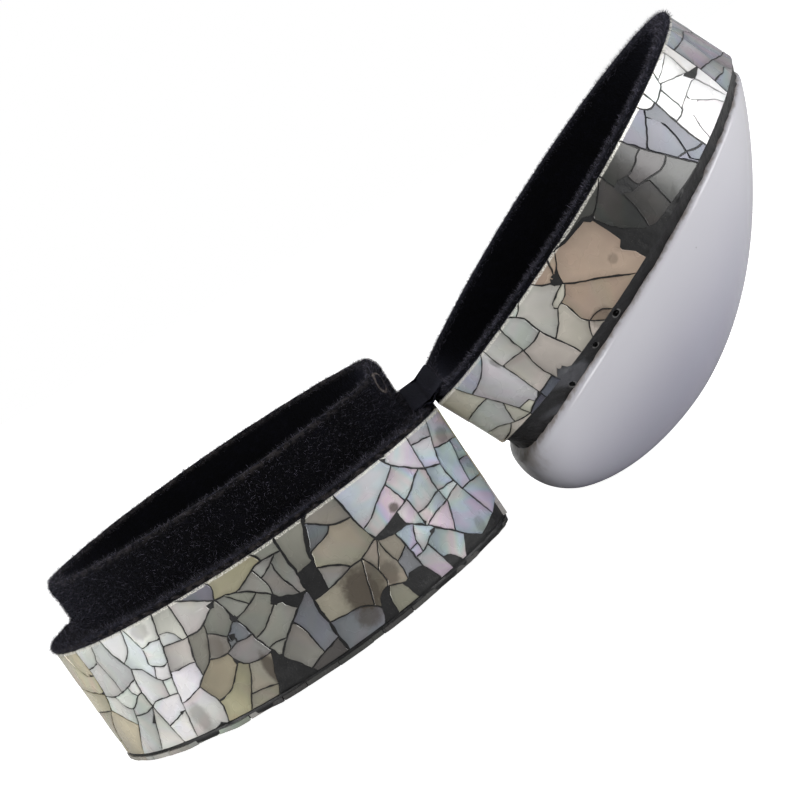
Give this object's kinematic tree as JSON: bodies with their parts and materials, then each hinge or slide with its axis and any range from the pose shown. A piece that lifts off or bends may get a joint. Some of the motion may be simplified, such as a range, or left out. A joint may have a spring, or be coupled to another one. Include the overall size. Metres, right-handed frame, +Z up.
{
  "type": "hinged shell trinket box",
  "caption": "Oval trinket box with a hinged domed lid, crackled mother-of-pearl walls, a white shell dome and a velvet-lined collar, shown open.",
  "frame": {"origin": "on the table, at the middle of the open box's footprint", "axes": "+Z up from the table, +X from the base towards the free tip of the open lid, Y along the hinge line"},
  "size_m": [0.135, 0.06, 0.0581],
  "materials": {
    "shell_mosaic": "polished nacre, cracked into shards, silver to cream with faint green and lilac",
    "white_shell": "polished white shell, satin gloss",
    "black_resin": "satin black filler with small air holes",
    "black_velvet": "short black velvet pile"
  },
  "bodies": {
    "base": {"base_resin_body": "black_resin", "base_shell_plate_1": "shell_mosaic", "base_shell_plate_2": "shell_mosaic", "base_shell_plate_3": "shell_mosaic", "base_shell_plate_4": "shell_mosaic", "base_shell_plate_5": "shell_mosaic", "base_shell_plate_6": "shell_mosaic", "base_shell_plate_7": "shell_mosaic", "base_shell_plate_8": "shell_mosaic", "base_shell_plate_9": "shell_mosaic", "base_shell_plate_hinge": "shell_mosaic", "underside_shell": "shell_mosaic", "base_velvet_lining": "black_velvet", "base_rim_velvet": "black_velvet", "velvet_hinge": "black_velvet"},
    "lid": {"lid_resin_body": "black_resin", "lid_shell_plate_1": "shell_mosaic", "lid_shell_plate_2": "shell_mosaic", "lid_shell_plate_3": "shell_mosaic", "lid_shell_plate_4": "shell_mosaic", "lid_shell_plate_5": "shell_mosaic", "lid_shell_plate_6": "shell_mosaic", "lid_shell_plate_7": "shell_mosaic", "lid_shell_plate_8": "shell_mosaic", "lid_shell_plate_hinge": "shell_mosaic", "lid_velvet_lining": "black_velvet", "lid_rim_velvet": "black_velvet", "shell_dome": "white_shell"}
  },
  "joints": [
    {"name": "lid_hinge", "type": "hinge", "parent": "base", "child": "lid", "pos_m": [0.00188, 0, 0.02568], "axis": [0, 1, 0], "range_deg": [-155.2, 0]}
  ]
}
